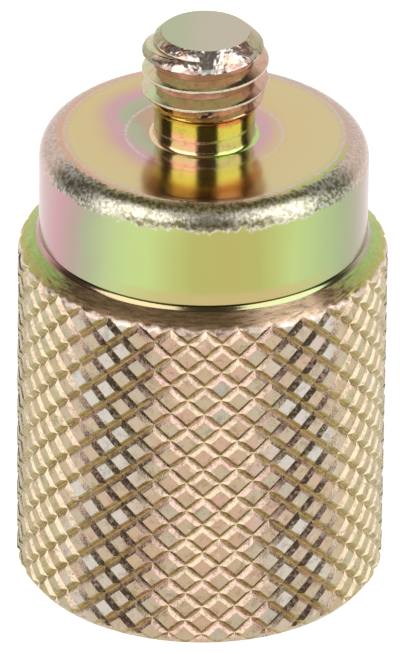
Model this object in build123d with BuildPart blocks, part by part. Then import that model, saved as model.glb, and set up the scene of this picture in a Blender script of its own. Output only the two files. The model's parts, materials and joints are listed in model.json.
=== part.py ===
from build123d import *
import os
from math import ceil, cos, floor, radians, sin, tan

# A spacer bolt, turned in one piece from round steel bar and standing on its flat base.
# Origin: centre of the base. +Z: along the axis, towards the threaded stud.

# Knurled grip, with a small chamfer at the base and a steep one at its upper edge
grip_diameter = 28.0
grip_height = 26.5
base_chamfer_width = 0.62
base_chamfer_height = 0.8
upper_chamfer_width = 0.6
upper_chamfer_height = 1.1

# Diamond knurl: flat-topped diamonds left standing between two sets of helical grooves
knurl_columns = 34
knurl_row_pitch = 2.38
knurl_depth = 0.38
knurl_land_height = 1.24
knurl_first_row = 0.96
knurl_turn = -83.65

# Smooth collar, and the sloping shoulder that falls from its foot to the grip
shoulder_height = 1.05
collar_diameter = 24.84
collar_length = 7.9
collar_edge_radius = 1.9

# Low raised seat round the stud on the collar's face
seat_diameter = 11.8
seat_rise = 0.08

# Stud for a 3/8 inch thread, 16 to the inch, with a relief groove at its foot
stud_diameter = 9.525
stud_length = 8.65
stud_tip_flat_diameter = 6.6
stud_tip_length = 1.6
relief_diameter = 7.6
relief_length = 2.7
relief_runout_angle = 45.0

# Blind tapped hole in the base, for the stud of the next bolt
bore_diameter = 7.94
bore_depth = 14.0
bore_mouth_diameter = 10.0
bore_mouth_angle = 45.0
drill_point_angle = 118.0

# Radii and heights that follow from the sizes above
grip_radius = grip_diameter / 2
shoulder_foot_height = grip_height + upper_chamfer_height
collar_radius = collar_diameter / 2
collar_foot_height = shoulder_foot_height + shoulder_height
collar_face_height = collar_foot_height + collar_length
seat_radius = seat_diameter / 2
seat_height = collar_face_height + seat_rise
stud_radius = stud_diameter / 2
stud_top = collar_face_height + stud_length
stud_tip_radius = stud_tip_flat_diameter / 2
relief_radius = relief_diameter / 2
relief_top = collar_face_height + relief_length
thread_start = relief_top + (stud_radius - relief_radius) * tan(radians(relief_runout_angle))
bore_radius = bore_diameter / 2
bore_mouth_radius = bore_mouth_diameter / 2
bore_mouth_depth = (bore_mouth_radius - bore_radius) / tan(radians(bore_mouth_angle))
bore_point_depth = bore_depth + bore_radius / tan(radians(drill_point_angle / 2))


class DiamondKnurl(BasePartObject):
    """Many-sided prism with a band of flat-topped diamonds standing on its outside.

    Each diamond has one flat land and four sloping flanks. Its corners in the groove
    bottoms lie on one circle and are shared with its neighbours, so the band closes.
    Columns stand half a row higher by turns. The prism carries on above and below the
    band at the groove bottoms, so that a turned blank can be cut back to the knurl.

    Args:
        land_radius (float): from the axis to the middle of a land
        depth (float): from the lands down to the groove bottoms
        columns (int): diamonds in one row round the prism
        row_pitch (float): height of a whole diamond
        land_height (float): height of its flat land
        first_row (float): height of a row's centre above the band's bottom
        band_height (float): height that the diamonds cover at least
        length (float): height of the prism above the band's bottom
    """

    def __init__(
        self,
        land_radius: float,
        depth: float,
        columns: int,
        row_pitch: float,
        land_height: float,
        first_row: float,
        band_height: float,
        length: float,
        rotation: RotationLike = (0, 0, 0),
        mode: Mode = Mode.ADD,
    ):
        groove_radius = land_radius - depth
        half_turn = 180 / columns
        half_row = row_pitch / 2
        half_land = land_height / 2

        # The four flanks, carried on past the land, meet in a point on the column's radius.
        # That point gives the land the width at which each flank stays flat.
        point_radius = groove_radius + depth * half_row / (half_row - half_land)
        side_x = groove_radius * cos(radians(half_turn))
        side_y = groove_radius * sin(radians(half_turn))
        half_width = side_y * (point_radius - land_radius) / (point_radius - side_x)

        lowest_row = floor(-first_row / row_pitch)
        highest_row = ceil((band_height - first_row) / row_pitch)
        rows = range(lowest_row, highest_row + 1)
        slots = range(2 * columns)

        def place(column, x, y, z):
            return Vector(x, y, z).rotate(Axis.Z, column * half_turn)

        def row_height(column, row):
            return first_row + (row + column % 2 / 2) * row_pitch

        def strip(column, heights, end):
            next_column = (column + 1) % len(slots)
            return Face(Wire.make_polygon([
                place(column, groove_radius, 0, heights[column]),
                place(next_column, groove_radius, 0, heights[next_column]),
                place(next_column, groove_radius, 0, end),
                place(column, groove_radius, 0, end),
            ]))

        faces = []
        for column in slots:
            for row in rows:
                z = row_height(column, row)
                foot = [
                    place(column, groove_radius, 0, z + half_row),
                    place(column, side_x, -side_y, z),
                    place(column, groove_radius, 0, z - half_row),
                    place(column, side_x, side_y, z),
                ]
                land = [
                    place(column, land_radius, 0, z + half_land),
                    place(column, land_radius, -half_width, z),
                    place(column, land_radius, 0, z - half_land),
                    place(column, land_radius, half_width, z),
                ]
                faces.append(Face(Wire.make_polygon(land)))
                for i, j in ((0, 1), (1, 2), (2, 3), (3, 0)):
                    flank = [foot[i], foot[j], land[j], land[i]]
                    faces.append(Face(Wire.make_polygon(flank)))

        band_foot = [row_height(column, lowest_row) - half_row for column in slots]
        band_head = [row_height(column, highest_row) + half_row for column in slots]
        for heights, end in ((band_foot, min(band_foot) - row_pitch), (band_head, length)):
            faces += [strip(column, heights, end) for column in slots]
            rim = [place(column, groove_radius, 0, end) for column in slots]
            faces.append(Face(Wire.make_polygon(rim)))

        super().__init__(part=Solid(Shell(faces)), rotation=rotation, mode=mode)


# Half section of the bolt on its axis. The blank is left a little proud of the grip, so
# that only the chamfers cut into the knurl.
proud = 0.1
base_run = base_chamfer_height / base_chamfer_width
upper_run = upper_chamfer_height / upper_chamfer_width
blank_radius = grip_radius + proud

with BuildPart() as spacer_bolt:
    with BuildSketch(Plane.XZ) as section:
        with BuildLine():
            Polyline(
                (0, stud_top),
                (0, bore_point_depth),
                (bore_radius, bore_depth),
                (bore_radius, bore_mouth_depth),
                (bore_mouth_radius, 0),
                (grip_radius - base_chamfer_width, 0),
                (blank_radius, base_chamfer_height + proud * base_run),
                (blank_radius, grip_height - proud * upper_run),
                (grip_radius - upper_chamfer_width, shoulder_foot_height),
                (collar_radius, collar_foot_height),
                (collar_radius, collar_face_height),
                (seat_radius + seat_rise, collar_face_height),
                (seat_radius, seat_height),
                (relief_radius, seat_height),
                (relief_radius, relief_top),
                (stud_radius, thread_start),
                (stud_radius, stud_top - stud_tip_length),
                (stud_tip_radius, stud_top),
                close=True,
            )
        make_face()
        collar_edge = (collar_radius, collar_face_height, 0)
        fillet(section.vertices().sort_by_distance(collar_edge)[0], collar_edge_radius)
    revolve(axis=Axis.Z)
    DiamondKnurl(
        land_radius=grip_radius,
        depth=knurl_depth,
        columns=knurl_columns,
        row_pitch=knurl_row_pitch,
        land_height=knurl_land_height,
        first_row=knurl_first_row,
        band_height=collar_foot_height,
        length=stud_top + proud,
        rotation=(0, 0, knurl_turn),
        mode=Mode.INTERSECT,
    )

spacer_bolt.part.label = "spacer_bolt"

os.makedirs("parts", exist_ok=True)
export_step(spacer_bolt.part, "parts/spacer_bolt.step")
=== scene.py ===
import json
from math import cos, pi, radians, sin

import bpy
import numpy as np
from mathutils import Matrix, Vector


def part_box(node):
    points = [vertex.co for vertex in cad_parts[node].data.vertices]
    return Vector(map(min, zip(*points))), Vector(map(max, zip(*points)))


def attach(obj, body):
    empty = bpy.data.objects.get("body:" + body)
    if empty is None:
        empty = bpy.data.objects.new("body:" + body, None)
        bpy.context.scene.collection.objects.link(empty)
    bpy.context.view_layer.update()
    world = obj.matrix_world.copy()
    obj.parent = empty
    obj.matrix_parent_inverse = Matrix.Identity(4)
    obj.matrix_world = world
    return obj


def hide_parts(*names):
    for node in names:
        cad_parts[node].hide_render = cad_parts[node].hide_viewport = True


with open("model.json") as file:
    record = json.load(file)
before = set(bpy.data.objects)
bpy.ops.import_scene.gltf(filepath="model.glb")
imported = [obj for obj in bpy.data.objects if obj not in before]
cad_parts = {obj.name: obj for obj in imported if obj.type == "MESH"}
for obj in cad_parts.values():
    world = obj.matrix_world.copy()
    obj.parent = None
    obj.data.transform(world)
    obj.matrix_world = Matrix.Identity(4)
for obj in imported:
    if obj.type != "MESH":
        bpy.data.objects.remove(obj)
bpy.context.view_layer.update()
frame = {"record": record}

# The bar: one piece of round steel, yellow chromated all over after turning. Every surface below
# is a stack of rings round its axis with the same number of points, so that the parts of the
# bolt grow into one closed skin. Rings run from the bottom of the bore, out and up, to the tip.
MM = 0.001
MOUNTS = {mount["name"]: mount for mount in frame["record"]["mounts"]}
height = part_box("spacer_bolt")[1].z / MM
knurl_columns = 34
steps_per_column = 8
around = knurl_columns * steps_per_column
point = np.arange(around)
full_turn = 2 * pi
column_turn = full_turn / knurl_columns
point_turn = full_turn / around
first_angle = radians(1.06 - 90)


def polar_points(radius, angle, z):
    """Points round the Z axis: x = radius cos(angle), y = radius sin(angle). Radius, angle and
    height are spread over the same grid of rings by points."""
    radius, angle, z = np.broadcast_arrays(radius, angle, z)
    return np.stack([radius * np.cos(angle), radius * np.sin(angle), z], axis=-1)


def ring_points(radius, z, turn):
    """Rings whose points stand an equal share of a turn apart, less each ring's own turn."""
    angle = first_angle + point * point_turn - np.asarray(turn)[..., None]
    return polar_points(radius, angle, z)


def profile_rings(corners, steps, turn):
    """Rings along a chain of straight runs: each run between two (radius, height) corners is
    divided evenly into its number of steps. The first corner is left out, the last is kept."""
    runs = []
    for start, end, count in zip(corners, corners[1:], steps):
        share = np.linspace(0, 1, count + 1)[1:, None]
        runs.append(np.array(start) * (1 - share) + np.array(end) * share)
    rings = np.concatenate(runs)
    return ring_points(rings[:, :1], rings[:, 1:], np.full(len(rings), turn))


def smooth_noise(ring_count, spread, seed):
    """Soft random bumps on a grid of rings by points, between about -2 and 2: white noise is
    blurred with a bell curve `spread` cells wide, as a product of Fourier transforms, and then
    divided by its own standard deviation. It wraps round the ring."""
    white = np.random.default_rng(seed).standard_normal((ring_count, around))
    waves = np.hypot(np.fft.fftfreq(ring_count)[:, None], np.fft.fftfreq(around)[None, :])
    blurred = np.fft.ifft2(np.fft.fft2(white) * np.exp(-2 * (pi * spread * waves) ** 2)).real
    return blurred / blurred.std()


def fade(value, low, low_run, high, high_run):
    """Share that rises from 0 to 1 over a run above `low`, and falls back to 0 over a run below
    `high`."""
    return np.clip((value - low) / low_run, 0, 1) * np.clip((high - value) / high_run, 0, 1)


# The grip: the lower part of the bar, with a diamond knurl rolled into it. Two sets of V grooves
# cross at right angles and leave flat-topped diamonds. A small chamfer ends it at the base, and
# at its upper edge the grooves run out over a rough, slightly crowned shoulder.
grip_radius = 14.0
groove_depth = 0.33
flank_share = 0.2
row_pitch = 2.38
row_step = row_pitch / (2 * steps_per_column)
first_diamond_z = 2.15
land_spread = 0.018
land_lowest = 0.03
land_grain = 0.007
land_grain_lowest = 0.02
base_chamfer_width = 0.62
base_chamfer_height = 0.8
shoulder_start = (14.0, 26.7)
shoulder_middle = (13.4, 27.6)
shoulder_end = (12.59, 28.25)
shoulder_crown = 0.14
shoulder_relief = 0.03

knurl_top = 28.2
rows = np.arange(np.ceil(-first_diamond_z / row_step), (knurl_top - first_diamond_z) // row_step + 1)
knurl_z = first_diamond_z + rows * row_step
knurl_turn = rows * point_turn / 2


def moved_lines(position, share):
    """The grid's lines, moved to where the knurl bends: a position counts groove spacings, from
    the middle of a land, and the second of four steps to the groove goes to the land's edge. A
    share below 1 moves the lines only in part."""
    middle = np.round(position)
    off = position - middle
    moved = np.interp(np.abs(off), [0, 0.25, 0.5], [0, 0.5 - flank_share, 0.5])
    return position + share * (middle + np.sign(off) * moved - position)


def shoulder_radius(z):
    """Outline of the grip at its upper edge: straight up to where the shoulder starts, then an
    arch between the shoulder's start and middle, as a chord plus 4 s (1 - s) of its crown, and
    then straight to the collar's foot."""
    share = (z - shoulder_start[1]) / (shoulder_middle[1] - shoulder_start[1])
    bulge = 4 * share * (1 - share) * shoulder_crown * (share > 0) * (share < 1)
    corners = (shoulder_start, shoulder_middle, shoulder_end)
    return np.interp(z, [c[1] for c in corners], [c[0] for c in corners]) + bulge


def knurl_radius(across, along):
    """Radius of the knurl, from each point's position across both families of grooves. A groove's
    wall rises evenly to the land over a fifth of the groove spacing, and the lower of the two
    families' heights counts. Some diamonds stand a little lower, by a table of chances."""
    walls = [(0.5 - np.abs(family - np.round(family))) / flank_share for family in (across, along)]
    rise = np.minimum(*walls).clip(0, 1)
    table = (knurl_columns, 97)
    diamond = (np.round(across).astype(int) % table[0], np.round(along).astype(int) % table[1])
    uneven = np.random.default_rng(4).normal(0, land_spread, table)[diamond].clip(-land_lowest, 0)
    rough = land_grain * smooth_noise(len(rows), spread=0.9, seed=5)
    rough = rough.clip(-land_grain_lowest, 0)
    return grip_radius + (rise - 1) * groove_depth + rise * uneven + rough


move = fade(knurl_z, low=0.3, low_run=0.5, high=27.3, high_run=0.5)[:, None]
across = moved_lines(point / steps_per_column, move)
along = moved_lines((point - rows[:, None]) / steps_per_column, move)
grip_angle = first_angle + column_turn * (across + along) / 2
grip_z = first_diamond_z + row_pitch * (across - along) / 2
knurl_ridge = (2 * point - rows[:, None]) % steps_per_column == 0
chamfer_radius = grip_radius - base_chamfer_width * (1 - grip_z / base_chamfer_height)
rough_share = fade(grip_z, low=26.3, low_run=0.8, high=28.1, high_run=0.3)
shoulder_rough = shoulder_relief * smooth_noise(len(rows), spread=1.6, seed=6) * rough_share
grip_outline = np.minimum(chamfer_radius, shoulder_radius(grip_z)) + shoulder_rough
grip_rings = polar_points(np.minimum(knurl_radius(across, along), grip_outline), grip_angle, grip_z)
base_turn = knurl_turn[0]
top_turn = knurl_turn[-1]


def new_node(tree, kind, feeds=None, **settings):
    """One shader node. Each input in `feeds` gets a plain value or the output that feeds it."""
    made = tree.nodes.new("ShaderNode" + kind)
    for name, value in settings.items():
        setattr(made, name, value)
    for key, value in (feeds or {}).items():
        if isinstance(value, bpy.types.NodeSocket):
            tree.links.new(value, made.inputs[key])
        else:
            made.inputs[key].default_value = value
    return made


def maths(tree, operation, first, second=0.0, third=0.0, clamp=False):
    """Output of one Math node."""
    feeds = {0: first, 1: second, 2: third}
    return new_node(tree, "Math", feeds, operation=operation, use_clamp=clamp).outputs[0]


def product(tree, first, *others):
    """Product of masks and numbers."""
    for other in others:
        first = maths(tree, "MULTIPLY", first, other)
    return first


def absolute(tree, value):
    """Absolute value."""
    return maths(tree, "ABSOLUTE", value)


def wobble(tree, pattern, width):
    """A noise of 0 to 1 as an offset of half a width to either side."""
    return maths(tree, "MULTIPLY_ADD", pattern, width, -width / 2)


def between(tree, value, low, high, to_low=0.0, to_high=1.0, kind="SMOOTHSTEP"):
    """Step of a value, from to_low at low to to_high at high. It is smooth, or straight where its
    kind is LINEAR."""
    feeds = {"Value": value, "From Min": low, "From Max": high, "To Min": to_low, "To Max": to_high}
    return new_node(tree, "MapRange", feeds, interpolation_type=kind).outputs[0]


def band(tree, value, low, low_full, high_full, high):
    """Mask of 1 from low_full to high_full, which falls smoothly to 0 at low and at high."""
    return product(tree, between(tree, value, low, low_full), between(tree, value, high, high_full))


def screen_colour(red, green, blue):
    """A colour of 0 to 255 on the screen as the linear values that a shader uses."""
    share = np.array([red, green, blue]) / 255
    linear = np.where(share <= 0.04045, share / 12.92, ((share + 0.055) / 1.055) ** 2.4)
    return (*linear.tolist(), 1.0)


def colour_ramp(tree, factor, stops):
    """Output of a Color Ramp with (position, (red, green, blue)) stops."""
    made = new_node(tree, "ValToRGB", {"Fac": factor})
    elements = made.color_ramp.elements
    for _ in range(len(stops) - 2):
        elements.new(0.5)
    for element, (position, colour) in zip(elements, stops):
        element.position = position
        element.color = screen_colour(*colour)
    return made.outputs["Color"]


def blend(tree, factor, first, second):
    """Mix of two colours, each a (red, green, blue) of the screen or an output."""
    feeds = {0: factor, 6: first, 7: second}
    for key in (6, 7):
        if not isinstance(feeds[key], bpy.types.NodeSocket):
            feeds[key] = screen_colour(*feeds[key])
    return new_node(tree, "Mix", feeds, data_type="RGBA").outputs[2]


def noise(tree, vector, scale, detail=2.0, roughness=0.5):
    """Output of a Noise texture, about 0.5 on average."""
    feeds = {"Vector": vector, "Scale": scale, "Detail": detail, "Roughness": roughness}
    return new_node(tree, "TexNoise", feeds).outputs["Fac"]


def new_material(name, roughness):
    """A metal Principled shader, its node tree, and what the patterns are made from: Object
    coordinates in millimetres, the height, the distance from the axis, and the azimuth in radians
    from the front."""
    made = bpy.data.materials.new(name)
    made.use_nodes = True
    tree = made.node_tree
    shader = tree.nodes["Principled BSDF"]
    shader.inputs["Metallic"].default_value = 1.0
    shader.inputs["Roughness"].default_value = roughness
    place = new_node(tree, "TexCoord").outputs["Object"]
    place = new_node(tree, "VectorMath", {0: place, "Scale": 1 / MM}, operation="SCALE").outputs[0]
    x, y, z = new_node(tree, "SeparateXYZ", {0: place}).outputs
    flat = new_node(tree, "CombineXYZ", {0: x, 1: y}).outputs[0]
    distance = new_node(tree, "VectorMath", {0: flat}, operation="LENGTH").outputs["Value"]
    azimuth = maths(tree, "ARCTAN2", x, maths(tree, "MULTIPLY", y, -1.0))
    return made, tree, shader, place, z, distance, azimuth


def add_bump(tree, shader, height, depth):
    """Bump of a height between 0 and 1 that is `depth` millimetres deep."""
    bump = new_node(tree, "Bump", {"Height": height, "Distance": depth * MM})
    tree.links.new(bump.outputs[0], shader.inputs["Normal"])


# Pitted plating, for every surface that was left rough: small grains, gathered in patches.
pitted = bpy.data.node_groups.new("pitted_plating", "ShaderNodeTree")
pitted.interface.new_socket("Place", in_out="INPUT", socket_type="NodeSocketVector")
pitted.interface.new_socket("Grain", in_out="INPUT", socket_type="NodeSocketFloat")
pitted.interface.new_socket("Patch", in_out="INPUT", socket_type="NodeSocketFloat")
pitted.interface.new_socket("Height", in_out="OUTPUT", socket_type="NodeSocketFloat")
pitted.interface.new_socket("Pits", in_out="OUTPUT", socket_type="NodeSocketFloat")
inside = pitted.nodes.new("NodeGroupInput").outputs
grains = noise(pitted, inside["Place"], inside["Grain"], 3.0, 0.6)
patches = noise(pitted, inside["Place"], inside["Patch"], 2.0, 0.5)
pits = between(pitted, maths(pitted, "ADD", grains, patches), 0.98, 0.78)
outside = pitted.nodes.new("NodeGroupOutput")
pitted.links.new(grains, outside.inputs["Height"])
pitted.links.new(pits, outside.inputs["Pits"])


def pitted_plating(tree, place, grain, patch):
    """Places the pitted plating group. Grain and patch are its noise scales, for millimetres."""
    made = new_node(tree, "Group", node_tree=pitted)
    tree.links.new(place, made.inputs["Place"])
    made.inputs["Grain"].default_value = grain
    made.inputs["Patch"].default_value = patch
    return made.outputs["Height"], made.outputs["Pits"]


# The knurl's finish: the lands are dull, the walls that face up are bright with a painted
# highlight, the walls that face down are darker and greener with painted shade, and the groove
# bottoms are a lighter tan. It finds its place in the lattice as the mesh does.
pit_brown = (112, 90, 60)
grip_finish, tree, shader, place, z, distance, azimuth = new_material("plated_knurl", 0.2)
column = maths(tree, "DIVIDE", maths(tree, "SUBTRACT", azimuth, first_angle + pi / 2), column_turn)
row = maths(tree, "DIVIDE", maths(tree, "SUBTRACT", z, first_diamond_z), row_pitch)
# Position across each family of grooves, the nearest land, and how far off its middle it is.
off = []
cell = []
for operation in ("ADD", "SUBTRACT"):
    family = maths(tree, operation, column, row)
    nearest = maths(tree, "ROUND", family)
    off.append(maths(tree, "SUBTRACT", family, nearest))
    cell.append(nearest)
edge = maths(tree, "MAXIMUM", absolute(tree, off[0]), absolute(tree, off[1]))
upward = maths(tree, "SUBTRACT", off[0], off[1])
cell_column = maths(tree, "FLOORED_MODULO", maths(tree, "ADD", *cell), 2.0 * knurl_columns)
cell_row = maths(tree, "SUBTRACT", *cell)
cell_id = new_node(tree, "CombineXYZ", {0: cell_column, 1: cell_row}).outputs[0]
# Lands: each diamond has a chance of its own, and clouds of tone run over several of them.
chance = new_node(tree, "TexWhiteNoise", {"Vector": cell_id}).outputs["Value"]
grain, pits = pitted_plating(tree, place, 7.0, 1.3)
cloud = noise(tree, place, 0.35, 2.0)
tone = maths(tree, "MULTIPLY_ADD", chance, 0.4, maths(tree, "MULTIPLY_ADD", cloud, 1.2, -0.3))
land = colour_ramp(
    tree,
    maths(tree, "MULTIPLY_ADD", grain, 0.3, maths(tree, "SUBTRACT", tone, 0.15), clamp=True),
    [
        (0.0, (178, 176, 164)),
        (0.3, (190, 176, 150)),
        (0.55, (196, 170, 140)),
        (0.8, (204, 166, 146)),
        (1.0, (186, 182, 136)),
    ],
)
side = absolute(tree, maths(tree, "SINE", azimuth))
# Some lands, at random, turn whitish: worn, and a painted glint in two bands beside the front.
worn_and_glinting_lands = band(tree, side, 0.2, 0.5, 0.65, 0.85)
worn_and_glinting_lands = product(tree, worn_and_glinting_lands, between(tree, chance, 0.45, 0.8, 0.1, 0.75))
land = blend(tree, worn_and_glinting_lands, land, (210, 210, 204))
land = blend(tree, between(tree, side, 0.65, 0.85, 0.0, 0.5), land, (190, 184, 132))

# Walls: a painted highlight where they face up, streaked painted shade where they face down.
bright = blend(tree, between(tree, chance, 0.2, 0.8), (204, 172, 160), (200, 180, 158))
bright = blend(tree, between(tree, side, 0.6, 0.8, 0.0, 0.6), bright, (204, 188, 158))
land_edge = 0.5 - flank_share
streak = noise(tree, place, 1.6, 4.0, 0.7)
dark = blend(tree, between(tree, streak, 0.4, 0.6), (140, 120, 78), (186, 168, 116))
dark = blend(tree, between(tree, side, 0.2, 0.6, 0.0, 0.7), dark, (178, 170, 108))
flank = blend(tree, between(tree, upward, -0.05, 0.05), dark, bright)
edge = maths(tree, "ADD", edge, wobble(tree, noise(tree, place, 3.5, 3.0, 0.6), 0.07))
surface = blend(tree, between(tree, edge, land_edge - 0.01, land_edge + 0.03), land, flank)
surface = blend(tree, between(tree, edge, 0.455, 0.485), surface, (208, 190, 154))
surface = blend(tree, product(tree, pits, 0.4), surface, pit_brown)

# The shoulder above the knurl is brown and streaked round the bolt, and olive at its sides. Metal
# that the rolling pushed up leaves a pale, broken lip where the grooves run out.
fall = (shoulder_start[0] - shoulder_middle[0]) / (shoulder_middle[1] - shoulder_start[1])
above_start = maths(tree, "MAXIMUM", maths(tree, "SUBTRACT", z, shoulder_start[1]), 0.0)
outline = maths(tree, "MULTIPLY_ADD", above_start, fall, distance)
lip = maths(tree, "ADD", above_start, wobble(tree, noise(tree, place, 1.1, 3.0), 0.7))
cut_back = between(tree, outline, grip_radius - 0.1, grip_radius)
cut_back = product(tree, cut_back, between(tree, lip, 0.3, 0.45))
shoulder = maths(tree, "MAXIMUM", cut_back, between(tree, z, 27.1, 27.3))
streak_scales = {0: (azimuth, 14.0), 1: (z, 5.0), 2: (distance, 5.0)}
streak_feeds = {axis: product(tree, *pair) for axis, pair in streak_scales.items()}
streak_place = new_node(tree, "CombineXYZ", streak_feeds).outputs[0]
streaks = noise(tree, streak_place, 1.0, 4.0, 0.65)
brown = blend(tree, between(tree, streaks, 0.36, 0.64), (116, 92, 66), (176, 146, 116))
# Painted shade under the collar at the front and left; a painted highlight at the front right.
painted_shoulder_shade = product(tree, between(tree, z, 27.2, 27.7), between(tree, azimuth, 0.3, 0.1), 0.6)
brown = blend(tree, painted_shoulder_shade, brown, (104, 88, 58))
painted_shoulder_highlight = band(tree, azimuth, 0.2, 0.4, 0.65, 0.8)
painted_shoulder_highlight = product(tree, painted_shoulder_highlight, between(tree, streaks, 0.3, 0.5, 0.4, 1.0))
brown = blend(tree, painted_shoulder_highlight, brown, (234, 206, 176))
olive = blend(tree, between(tree, z, 27.3, 28.0), (206, 198, 122), (184, 206, 128))
far_side = between(tree, maths(tree, "MULTIPLY_ADD", streaks, 0.4, side), 0.92, 1.1)
brown = blend(tree, far_side, brown, olive)
surface = blend(tree, shoulder, surface, brown)
burr = product(
    tree,
    band(tree, lip, 0.08, 0.25, 0.45, 0.6),
    between(tree, outline, grip_radius - 0.14, grip_radius - 0.04),
    between(tree, streak, 0.35, 0.5, 0.3, 0.9),
)
surface = blend(tree, burr, surface, (238, 218, 206))
tree.links.new(surface, shader.inputs["Base Color"])
gloss = between(tree, edge, land_edge - 0.02, land_edge + 0.02, 0.28, 0.24)
scuffed = between(tree, noise(tree, place, 3.2, 3.0, 0.6), 0.5, 0.6)
gloss = maths(tree, "MULTIPLY_ADD", scuffed, 0.18, gloss)
gloss = maths(tree, "MULTIPLY_ADD", shoulder, 0.2, gloss)
tree.links.new(gloss, shader.inputs["Roughness"])
relief = maths(tree, "MULTIPLY_ADD", product(tree, shoulder, streaks), 4.0, grain)
add_bump(tree, shader, relief, 0.009)

# The base: a flat turned face with a blind hole for the stud of the next bolt, opened by a
# countersink and ending in the drill's cone.
bore_radius = MOUNTS["base_thread"]["dims"]["r_mm"]
bore_bottom = 14.0
bore_point = 16.4
bore_mouth_radius = 5.0
bore_mouth_depth = bore_mouth_radius - bore_radius
bore_rings = profile_rings(
    [
        (0, bore_point),
        (bore_radius, bore_bottom),
        (bore_radius, bore_mouth_depth),
        (bore_mouth_radius, 0),
        (grip_radius - base_chamfer_width, 0),
    ],
    [4, 12, 1, 6],
    base_turn,
)

# The base's finish: khaki and pinkish rings of the turning tool, pitted in places.
base_finish, tree, shader, place, z, distance, azimuth = new_material("plated_base", 0.28)
grain, pits = pitted_plating(tree, place, 4.0, 0.9)
ring_place = new_node(tree, "CombineXYZ", {0: product(tree, distance, 5.0), 1: z}).outputs[0]
tool_rings = noise(tree, ring_place, 1.0, 3.0)
surface = blend(tree, noise(tree, place, 0.25, 2.0), (204, 168, 146), (188, 186, 128))
surface = blend(tree, between(tree, tool_rings, 0.4, 0.62, 0.0, 0.6), surface, (150, 132, 92))
surface = blend(tree, product(tree, pits, 0.5), surface, pit_brown)
tree.links.new(surface, shader.inputs["Base Color"])
add_bump(tree, shader, maths(tree, "MULTIPLY_ADD", tool_rings, 1.5, grain), 0.008)

# The collar: turned smooth, with a large radius between its wall and its face that was left as
# it came, rough and pitted. A low seat stands round the stud, where the tool turned inwards.
collar_radius = 12.42
collar_face = MOUNTS["collar_face"]["pos_m"][2] / MM
collar_edge_radius = 1.9
seat_radius = 5.9
seat_rise = 0.02
seat_run = 0.25
relief_radius = 3.8
relief_foot_radius = 0.35
relief_straight_end = 39.0
edge_steps = 16
relief_steps = 6

edge_centre = (collar_radius - collar_edge_radius, collar_face - collar_edge_radius)
wall_top = (collar_radius, edge_centre[1])
seat_height = collar_face + seat_rise
relief_centre = (relief_radius + relief_foot_radius, seat_height + relief_foot_radius)
edge_corners = [
    (edge_centre[0] + collar_edge_radius * cos(a), edge_centre[1] + collar_edge_radius * sin(a))
    for a in np.linspace(0, pi / 2, edge_steps + 1)[1:]
]
relief_corners = [
    (relief_centre[0] - relief_foot_radius * sin(a), relief_centre[1] - relief_foot_radius * cos(a))
    for a in np.linspace(0, pi / 2, relief_steps + 1)
]
foot_corners = [shoulder_end, (12.44, 28.47), (12.36, 28.52), (collar_radius, 28.62)]
foot_start = (shoulder_radius(knurl_z[-1]), knurl_z[-1])
foot_rings = profile_rings([foot_start, *foot_corners], [1, 2, 1, 1], top_turn)
wall_rings = profile_rings([foot_corners[-1], wall_top], [10], top_turn)
edge_rings = profile_rings([wall_top, *edge_corners], [1] * edge_steps, top_turn)
face_rings = profile_rings(
    [
        edge_corners[-1],
        (seat_radius + seat_run, collar_face),
        (seat_radius, seat_height),
        relief_corners[0],
    ],
    [10, 1, 3],
    top_turn,
)
relief_top = (relief_radius, relief_straight_end)
relief_rings = profile_rings([*relief_corners, relief_top], [1] * relief_steps + [5], top_turn)

# The collar's finish: the wall, the face and the seat are bright and shine through the film in
# bands of khaki, green and pink. The rounded edge is grey and pitted, with painted reflections.
collar_finish, tree, shader, place, z, distance, azimuth = new_material("plated_collar", 0.2)
grain, pits = pitted_plating(tree, place, 3.5, 1.1)
cloud = noise(tree, place, 0.16, 2.0)
side = absolute(tree, maths(tree, "SINE", maths(tree, "SUBTRACT", azimuth, 0.14)))
wall_film = maths(tree, "ADD", side, wobble(tree, cloud, 0.16), clamp=True)
wall = colour_ramp(
    tree,
    wall_film,
    [
        (0.0, (177, 171, 102)),
        (0.2, (174, 174, 102)),
        (0.33, (180, 188, 115)),
        (0.45, (187, 205, 131)),
        (0.56, (186, 205, 136)),
        (0.67, (180, 196, 141)),
        (0.77, (168, 176, 140)),
        (0.84, (178, 160, 148)),
        (0.9, (188, 156, 154)),
        (0.95, (198, 152, 158)),
        (1.0, (196, 160, 162)),
    ],
)
# The wall is greener at its right and warmer low in front, with painted shade in its foot's crease.
right_wall = product(tree, band(tree, azimuth, 0.4, 0.9, 1.2, 1.6), 0.45)
wall = blend(tree, right_wall, wall, (148, 168, 118))
warm = product(tree, between(tree, z, 29.9, 29.2), between(tree, side, 0.8, 0.3), 0.7)
wall = blend(tree, warm, wall, (196, 174, 124))
foot = between(tree, distance, collar_radius + 0.01, collar_radius + 0.04)
front_foot = blend(tree, between(tree, azimuth, 0.0, 0.6), (190, 176, 134), (178, 188, 138))
side_foot = blend(tree, between(tree, azimuth, -0.5, 0.5), (206, 158, 154), (180, 168, 152))
wall = blend(tree, foot, wall, blend(tree, between(tree, side, 0.6, 0.9), front_foot, side_foot))
painted_crease_shade = between(tree, absolute(tree, maths(tree, "SUBTRACT", z, 28.56)), 0.1, 0.05, 0.0, 0.8)
wall = blend(tree, painted_crease_shade, wall, (96, 84, 52))

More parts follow.
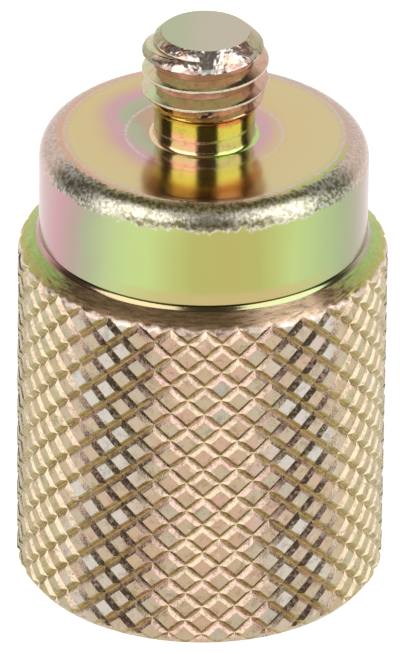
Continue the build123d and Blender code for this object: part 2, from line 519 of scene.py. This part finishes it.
# The face has bands of film round a middle that lies off to one side.
lobe = maths(tree, "COSINE", maths(tree, "ADD", azimuth, 1.8))
inward = maths(tree, "MULTIPLY_ADD", lobe, -1.0, distance)
back_left = maths(tree, "COSINE", maths(tree, "ADD", azimuth, 2.45))
inward = maths(tree, "SUBTRACT", inward, between(tree, back_left, 0.7, 1.0, 0.0, 1.6))
face_film = maths(tree, "ADD", inward, wobble(tree, cloud, 1.2))
face = colour_ramp(
    tree,
    maths(tree, "DIVIDE", maths(tree, "SUBTRACT", face_film, 2.5), 7.0, clamp=True),
    [
        (0.0, (196, 160, 130)),
        (0.12, (186, 164, 140)),
        (0.22, (174, 180, 146)),
        (0.31, (182, 178, 150)),
        (0.39, (206, 164, 168)),
        (0.48, (208, 166, 164)),
        (0.59, (212, 183, 143)),
        (0.7, (214, 191, 138)),
        (1.0, (212, 194, 143)),
    ],
)

# The face's rim has colours of its own, and pale scratched lines run along it and round the seat.
above_centre = maths(tree, "SUBTRACT", z, edge_centre[1])
outside_centre = maths(tree, "SUBTRACT", distance, edge_centre[0])
over_edge = maths(tree, "ARCTAN2", above_centre, outside_centre)
on_face = between(tree, over_edge, 1.1, 1.35)
left_rim = between(tree, azimuth, -0.5, -0.9)
green_rim = band(tree, azimuth, 0.4, 0.8, 1.2, 1.5)
outer = blend(tree, left_rim, (206, 176, 146), (214, 162, 138))
outer = blend(tree, between(tree, azimuth, 1.2, 1.5), outer, (200, 166, 154))
outer = blend(tree, green_rim, outer, (176, 184, 104))
near_rim = between(tree, distance, edge_centre[0] - 0.5, edge_centre[0] + 0.2, 0.0, 0.8)
face = blend(tree, near_rim, face, outer)
rim = absolute(tree, outside_centre)
seat_line = absolute(tree, maths(tree, "SUBTRACT", distance, seat_radius))
line = maths(tree, "MAXIMUM", between(tree, rim, 0.24, 0.06), between(tree, seat_line, 0.2, 0.06))
line = product(tree, line, between(tree, grain, 0.35, 0.6))
face = blend(tree, line, face, (208, 192, 180))
surface = blend(tree, on_face, wall, face)

# The rounded edge is worn to bright flecks on grey, in other shades on each stretch of it: a
# painted highlight over its front, painted dark reflections below that in the middle, above it
# and at its sides, and pinkish grey round the back.
bend = maths(tree, "ADD", over_edge, wobble(tree, noise(tree, place, 1.3, 4.0, 0.6), 0.8))
rough = band(tree, bend, 0.0, 0.2, 1.2, 1.4)
turned = absolute(tree, maths(tree, "ADD", azimuth, 0.02))
fleck = between(tree, grain, 0.42, 0.58)
# Painted highlight: the pale flecked grey shows over the front of the edge.
wear_and_reflections = blend(tree, fleck, (200, 194, 172), (236, 230, 218))
# Painted dark reflection below the highlight in the middle of the front.
low_reflection_band = product(tree, band(tree, bend, 0.1, 0.25, 0.35, 0.55), between(tree, turned, 0.6, 0.4))
low_dark_reflection = blend(tree, fleck, (120, 112, 86), (176, 168, 146))
wear_and_reflections = blend(tree, low_reflection_band, wear_and_reflections, low_dark_reflection)
# Painted dark reflection above the highlight.
upper_dark_reflection = blend(tree, fleck, (132, 128, 80), (206, 198, 160))
wear_and_reflections = blend(tree, between(tree, bend, 0.8, 1.05), wear_and_reflections, upper_dark_reflection)
# Painted dark reflection at the sides.
side_dark_reflection = blend(tree, fleck, (116, 114, 78), (190, 190, 182))
wear_and_reflections = blend(tree, between(tree, turned, 0.6, 0.85), wear_and_reflections, side_dark_reflection)
far_worn = blend(tree, fleck, (196, 172, 156), (212, 190, 176))
wear_and_reflections = blend(tree, between(tree, turned, 1.0, 1.25), wear_and_reflections, far_worn)
surface = blend(tree, product(tree, rough, 0.9), surface, wear_and_reflections)
pitting = product(tree, pits, between(tree, turned, 0.8, 1.2, 0.3, 0.1), rough)
surface = blend(tree, pitting, surface, (116, 104, 76))
rough = product(tree, rough, between(tree, turned, 1.0, 1.3, 1.0, 0.35))
tree.links.new(surface, shader.inputs["Base Color"])
tree.links.new(between(tree, rough, 0.0, 1.0, 0.15, 0.3), shader.inputs["Roughness"])
fine = noise(tree, place, 14.0, 2.0)
speckle = product(tree, fine, maths(tree, "MULTIPLY_ADD", rough, 0.25, 0.06))
relief = maths(tree, "MULTIPLY_ADD", rough, grain, speckle)
add_bump(tree, shader, relief, 0.026)

# The stud: a 3/8 inch thread, 16 to the inch, right-handed. It runs out over a short cone at the
# relief groove, and its first turn starts in the crowned, roughly cut chamfer of the tip.
stud_radius = MOUNTS["stud"]["dims"]["r_mm"]
thread_pitch = 1.5875
rows_per_pitch = 16
crest_rows = 0.9
root_rows = 6
thread_root = 3.9
thread_relief = 0.016
thread_relief_lowest = 0.04
crest_z_at_x = 41.26
snap = 0.3
runout_start = 39.25
tip_chamfer_start = 43.6
tip_flat_radius = 3.3
tip_crown = 0.12
pole_ring_radius = 0.3


def tip_radius(z):
    """Outline of the tip: from the full radius at the chamfer's start to the flat's radius at the
    top, as a chord plus 4 s (1 - s) of the crown. Below it, it leaves the thread alone."""
    share = (z - tip_chamfer_start) / (height - tip_chamfer_start)
    crowned = stud_radius + share * (tip_flat_radius - stud_radius) + 4 * share * (1 - share) * tip_crown
    return np.where(share > 0, crowned, stud_radius + 1)


def thread_grid():
    """Rows that climb with the thread: a row starts on one ring point and has risen by one pitch
    when it is back there, so crest and root are lines of the grid. Heights stop at the two flat
    rings that close the grid below and above. Gives the points and their heights."""
    angle = first_angle - top_turn + point * point_turn
    start = crest_z_at_x + thread_pitch * (first_angle - top_turn) / full_turn
    step = thread_pitch / rows_per_pitch
    low = int(np.floor((relief_straight_end - thread_pitch - start) / step)) - 1
    high = int(np.ceil((height - start) / step)) + 1
    row = np.arange(low, high + 1)
    z = start + row[:, None] * step + thread_pitch * point / around
    z = np.where(z < relief_straight_end + snap * step, relief_straight_end, z)
    z = np.where(z > height - snap * step, height, z)
    rough = thread_relief * smooth_noise(len(row), spread=2.0, seed=8)
    from_crest = np.abs((row + rows_per_pitch // 2) % rows_per_pitch - rows_per_pitch // 2)[:, None]
    depth = np.clip((from_crest - crest_rows) / (root_rows - crest_rows), 0, 1)
    thread = stud_radius - depth * (stud_radius - thread_root)
    runout = relief_radius + np.clip(z - runout_start, 0, None)
    rough = rough.clip(-thread_relief_lowest, 0)
    radius = np.minimum(np.minimum(thread, tip_radius(z)) + rough, runout)
    radius = np.where(z <= relief_straight_end, relief_radius, radius)
    radius = np.where(z >= height, tip_flat_radius, radius)
    return polar_points(radius, angle, z), z


thread_points, thread_z = thread_grid()
tip_start = ring_points(tip_flat_radius, height, np.array([top_turn]))
tip_rings = profile_rings([(tip_flat_radius, height), (pole_ring_radius, height)], [6], top_turn)

# The stud's finish: the thread's flanks that face up are greenish khaki, those that face down
# are pink to red-brown, and the crests are worn and painted as bright highlight lines. The relief
# groove is yellow, and the tip's chamfer is worn bright, with a painted highlight at its front, and
# dented where the tool tore it.
stud_finish, tree, shader, place, z, distance, azimuth = new_material("plated_stud", 0.14)
grain, pits = pitted_plating(tree, place, 4.0, 1.6)
# The thread: its phase is 0 on the crest and half a pitch away in the valley.
turns = maths(tree, "DIVIDE", maths(tree, "SUBTRACT", azimuth, pi / 2), full_turn)
climb = maths(tree, "DIVIDE", maths(tree, "SUBTRACT", z, crest_z_at_x), thread_pitch)
phase = maths(tree, "SUBTRACT", climb, turns)
phase = maths(tree, "SUBTRACT", phase, maths(tree, "ROUND", phase))
cloud = noise(tree, place, 0.45, 2.0)
above = blend(tree, between(tree, cloud, 0.35, 0.65), (196, 208, 160), (214, 196, 160))
above = blend(tree, between(tree, azimuth, 0.5, 1.0, 0.0, 0.8), above, (210, 162, 148))
below = blend(tree, cloud, (192, 166, 146), (180, 146, 122))
thread = blend(tree, between(tree, phase, -0.03, 0.03), below, above)
valley = blend(tree, between(tree, cloud, 0.4, 0.6), (180, 130, 106), (140, 102, 72))
from_crest = absolute(tree, phase)
thread = blend(tree, between(tree, from_crest, 0.34, 0.4), thread, valley)
# The crests: worn, and painted bright as highlight lines.
ragged = wobble(tree, noise(tree, place, 1.8, 3.0, 0.6), 0.12)
crest = between(tree, maths(tree, "ADD", from_crest, ragged), 0.09, 0.05)
crest = product(tree, crest, between(tree, grain, 0.35, 0.55, 0.45, 1.0))
thread = blend(tree, crest, thread, (216, 204, 186))

# The relief groove: pale and pinkish yellow, greener at its right, and darker in its upper half.
right = between(tree, azimuth, -0.1, 0.3)
low_groove = blend(tree, right, (238, 208, 164), (190, 212, 128))
low_groove = blend(tree, between(tree, z, 37.5, 38.6), low_groove, (198, 200, 108))
high_groove = blend(tree, right, (204, 176, 84), (196, 136, 88))
upper_half = between(tree, z, relief_straight_end - 0.25, relief_straight_end + 0.1)
groove = blend(tree, upper_half, low_groove, high_groove)
surface = blend(tree, between(tree, z, runout_start + 0.8, runout_start + 0.3), thread, groove)

# The tip's chamfer: bright metal in torn patches, with a painted highlight that keeps it brightest
# at the front and duller at the back.
tip_fall = (stud_radius - tip_flat_radius) / (height - tip_chamfer_start)
above_start = maths(tree, "SUBTRACT", z, tip_chamfer_start)
outline = maths(tree, "MULTIPLY_ADD", above_start, tip_fall, distance)
chamfer = between(tree, outline, stud_radius - 0.07, stud_radius)
chamfer = product(tree, chamfer, between(tree, above_start, -0.05, 0.1))
torn = between(tree, noise(tree, place, 0.8, 3.0), 0.4, 0.6)
wear_and_reflections = blend(tree, torn, (226, 190, 174), (240, 234, 228))
# Painted highlight: the chamfer stays bright at the front and turns dull olive at the back.
front = absolute(tree, maths(tree, "SINE", maths(tree, "DIVIDE", azimuth, 2.0)))
wear_and_reflections = blend(tree, between(tree, front, 0.62, 0.4), (176, 168, 128), wear_and_reflections)
surface = blend(tree, product(tree, chamfer, 0.9), surface, wear_and_reflections)
pitting = product(tree, pits, maths(tree, "MULTIPLY_ADD", chamfer, 0.1, 0.2))
surface = blend(tree, pitting, surface, (96, 78, 58))
tree.links.new(surface, shader.inputs["Base Color"])
gloss = maths(tree, "MULTIPLY_ADD", chamfer, 0.1, 0.14)
gloss = maths(tree, "MULTIPLY_ADD", crest, 0.2, gloss)
tree.links.new(gloss, shader.inputs["Roughness"])
dents = product(tree, chamfer, noise(tree, place, 1.05, 2.0))
speckle = product(tree, grain, maths(tree, "MULTIPLY_ADD", chamfer, 0.15, 0.2))
relief = maths(tree, "MULTIPLY_ADD", dents, 6.0, speckle)
add_bump(tree, shader, relief, 0.025)

# The finish of the tip's flat: dull, pale green on one side and pinkish on the other.
tip_finish, tree, shader, place, z, distance, azimuth = new_material("plated_tip", 0.4)
across = product(tree, distance, maths(tree, "SINE", azimuth))
cloud = maths(tree, "MULTIPLY_ADD", noise(tree, place, 0.5, 2.0), 2.0, across)
surface = blend(tree, between(tree, cloud, -1.4, 1.6), (192, 198, 164), (207, 197, 176))
tree.links.new(surface, shader.inputs["Base Color"])
add_bump(tree, shader, noise(tree, place, 9.0, 2.0), 0.008)

# The skin: all rings are joined into one closed mesh, and each stretch takes its own finish.
finishes = [grip_finish, collar_finish, stud_finish, tip_finish, base_finish]
on_grip, on_collar, on_stud, on_tip, on_base = range(len(finishes))
stretches = [
    (bore_rings, on_base),
    (grip_rings, on_grip),
    (foot_rings, on_collar),
    (wall_rings, on_collar),
    (edge_rings, on_collar),
    (face_rings, on_collar),
    (relief_rings, on_stud),
]
lower = np.concatenate([rings for rings, _ in stretches])
lower_finish = np.concatenate([np.full(len(rings), finish) for rings, finish in stretches])
lower_count = len(lower)
upper_rings = np.concatenate([tip_start, tip_rings])


def cell_triangles(bottom, top, next_bottom, next_top, ridge=None):
    """Two triangles for each cell between two rings, outwards: the cell's diagonal runs from the
    lower corner to the next upper one, along the second set of grooves. Where `ridge` is true, the
    cell's upper triangle and the one above it share an upright edge instead of a level one."""
    first = np.stack([bottom, next_bottom, next_top], axis=-1)
    second = np.stack([bottom, next_top, top], axis=-1)
    if ridge is not None:
        upright = ridge[:-1, :, None]
        low = np.stack([bottom[:-1], next_top[:-1], next_top[1:]], axis=-1)
        high = np.stack([bottom[:-1], next_top[1:], top[:-1]], axis=-1)
        second[:-1] = np.where(upright, low, second[:-1])
        first[1:] = np.where(upright, high, first[1:])
    return np.concatenate([first.reshape(-1, 3), second.reshape(-1, 3)])


ring_index = np.arange(lower_count * around).reshape(lower_count, around)
next_index = np.roll(ring_index, -1, axis=1)
grip_first = len(bore_rings)
ridge = np.zeros((lower_count - 1, around), dtype=bool)
ridge[grip_first : grip_first + len(rows) - 2] = knurl_ridge[:-2]
lower_faces = cell_triangles(ring_index[:-1], ring_index[1:], next_index[:-1], next_index[1:], ridge)
lower_mark = np.tile(np.repeat(lower_finish[1:], around), 2)

thread_first = lower_count * around
thread_rows = len(thread_points)
upper_first = thread_first + thread_rows * around
thread_index = thread_first + np.arange(thread_rows * around).reshape(thread_rows, around)
thread_index = np.where(thread_z <= relief_straight_end, ring_index[-1], thread_index)
thread_index = np.where(thread_z >= height, upper_first + point, thread_index)
wrapped = np.vstack([thread_index[rows_per_pitch:, :1], np.full((rows_per_pitch, 1), upper_first)])
thread_next = np.hstack([thread_index[:, 1:], wrapped])
thread_faces = cell_triangles(thread_index[:-1], thread_index[1:], thread_next[:-1], thread_next[1:])
whole = (
    (thread_faces[:, 0] != thread_faces[:, 1])
    & (thread_faces[:, 1] != thread_faces[:, 2])
    & (thread_faces[:, 2] != thread_faces[:, 0])
)
thread_faces = thread_faces[whole]

upper_index = upper_first + np.arange(len(upper_rings) * around).reshape(len(upper_rings), around)
upper_next = np.roll(upper_index, -1, axis=1)
upper_faces = cell_triangles(upper_index[:-1], upper_index[1:], upper_next[:-1], upper_next[1:])
tip_pole = upper_first + len(upper_rings) * around
bore_pole = tip_pole + 1
cap_faces = np.stack([upper_index[-1], upper_next[-1], np.full(around, tip_pole)], axis=-1)
bore_faces = np.stack([np.full(around, bore_pole), next_index[0], ring_index[0]], axis=-1)

points = np.concatenate(
    [
        lower.reshape(-1, 3),
        thread_points.reshape(-1, 3),
        upper_rings.reshape(-1, 3),
        [[0, 0, height], [0, 0, bore_point]],
    ]
)
faces = np.concatenate([lower_faces, thread_faces, upper_faces, cap_faces, bore_faces])
marks = np.concatenate(
    [
        lower_mark,
        np.full(len(thread_faces), on_stud),
        np.full(len(upper_faces) + len(cap_faces), on_tip),
        np.full(len(bore_faces), on_base),
    ]
)
used = np.unique(faces)
renumber = np.zeros(len(points), dtype=int)
renumber[used] = np.arange(len(used))

sharp_angle = 24
skin = bpy.data.meshes.new("bolt_skin")
skin.from_pydata((points[used] * MM).tolist(), [], renumber[faces].tolist())
skin.polygons.foreach_set("material_index", marks.astype(np.int32))
skin.polygons.foreach_set("use_smooth", np.ones(len(faces), dtype=bool))
skin.update()
skin.set_sharp_from_angle(angle=radians(sharp_angle))
for finish in finishes:
    skin.materials.append(finish)
bolt = bpy.data.objects.new("bolt", skin)
bpy.context.scene.collection.objects.link(bolt)
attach(bolt, "root")
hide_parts("spacer_bolt")

# The studio: a white floor that can be looked through from below, a white backdrop, a dark
# ceiling that is lighter overhead, and two soft boxes at the sides of the camera, with a dark gap
# between them where the camera stands.
floor_half = 2.5
floor_z = -0.00001
floor_seen = 0.7
floor_mirrored = 0.55
floor_mesh = bpy.data.meshes.new("floor")
floor_mesh.from_pydata(
    [(x * floor_half, y * floor_half, floor_z) for x, y in ((-1, -1), (1, -1), (1, 1), (-1, 1))],
    [],
    [(0, 1, 2, 3)],
)
floor = bpy.data.objects.new("floor", floor_mesh)
bpy.context.scene.collection.objects.link(floor)

floor_finish = bpy.data.materials.new("white_floor")
floor_finish.use_nodes = True
tree = floor_finish.node_tree
tree.nodes.clear()
rays = new_node(tree, "LightPath").outputs
mirrored = product(tree, rays["Is Glossy Ray"], floor_mirrored)
direct = maths(tree, "MULTIPLY_ADD", rays["Is Camera Ray"], floor_seen, mirrored)
paper = new_node(tree, "BsdfDiffuse", {"Color": (0.8, 0.8, 0.8, 1)})
glow = new_node(tree, "Emission", {"Color": (1, 1, 1, 1), "Strength": direct})
both = new_node(tree, "AddShader", {0: paper.outputs[0], 1: glow.outputs[0]})
from_below = new_node(tree, "NewGeometry").outputs["Backfacing"]
clear = new_node(tree, "BsdfTransparent")
one_sided = new_node(tree, "MixShader", {0: from_below, 1: both.outputs[0], 2: clear.outputs[0]})
new_node(tree, "OutputMaterial", {"Surface": one_sided.outputs[0]})
floor_mesh.materials.append(floor_finish)

backdrop_level = 0.88
world = bpy.data.worlds.new("studio")
bpy.context.scene.world = world
world.use_nodes = True
tree = world.node_tree
tree.nodes.clear()
rays = new_node(tree, "LightPath").outputs
direction = new_node(tree, "SeparateXYZ", {0: new_node(tree, "TexCoord").outputs["Generated"]}).outputs
behind = between(tree, direction["Y"], 0.3, 0.6, kind="LINEAR")
low_down = between(tree, direction["Z"], 0.74, 0.93, 1.0, 0.0, kind="LINEAR")
backdrop = product(tree, behind, low_down)
overhead = between(tree, direction["Z"], 0.95, 0.99, 0.065, 0.42, kind="LINEAR")
level = maths(tree, "MULTIPLY_ADD", backdrop, backdrop_level, overhead)
strength = maths(tree, "MAXIMUM", level, rays["Is Camera Ray"])
white = maths(tree, "MAXIMUM", backdrop, rays["Is Camera Ray"])
warm_dark = (1.0, 0.8, 0.6, 1)
plain_white = (1, 1, 1, 1)
tint = new_node(tree, "Mix", {0: white, 6: warm_dark, 7: plain_white}, data_type="RGBA").outputs[2]
sky = new_node(tree, "Background", {"Color": tint, "Strength": strength})
new_node(tree, "OutputWorld", {"Surface": sky.outputs[0]})

box_distance = 0.5
box_width = 0.589
box_bottom = 0.04
box_brightness = 1.9
for name, centre_azimuth, box_top in (("left_box", -48.5, 0.84), ("right_box", 61.5, 0.9)):
    lamp = bpy.data.lights.new(name, "AREA")
    lamp.shape = "RECTANGLE"
    lamp.size = box_width
    lamp.size_y = box_top - box_bottom
    lamp.energy = box_brightness * pi * lamp.size * lamp.size_y
    box = bpy.data.objects.new(name, lamp)
    outward = Vector((sin(radians(centre_azimuth)), -cos(radians(centre_azimuth)), 0))
    box.location = outward * box_distance + Vector((0, 0, (box_top + box_bottom) / 2))
    box.rotation_euler = outward.to_track_quat("Z", "Y").to_euler()
    bpy.context.scene.collection.objects.link(box)

# The camera: on a long lens in front of the bolt and above it, as the photograph was taken.
camera_elevation = 29.13
camera_roll = 0.72
camera_distance = 0.7768
aim = Vector((-0.00015, 0, 0.01988))
camera_data = bpy.data.cameras.new("camera")
camera_data.sensor_width = 36
camera_data.lens = 563.56
camera = bpy.data.objects.new("camera", camera_data)
back = Vector((0, -cos(radians(camera_elevation)), sin(radians(camera_elevation))))
camera.location = aim + back * camera_distance
upright = Matrix.Rotation(radians(90 - camera_elevation), 4, "X")
camera.rotation_euler = (upright @ Matrix.Rotation(radians(camera_roll), 4, "Z")).to_euler()
bpy.context.scene.collection.objects.link(camera)
bpy.context.scene.camera = camera
bpy.context.scene.view_settings.view_transform = "Standard"
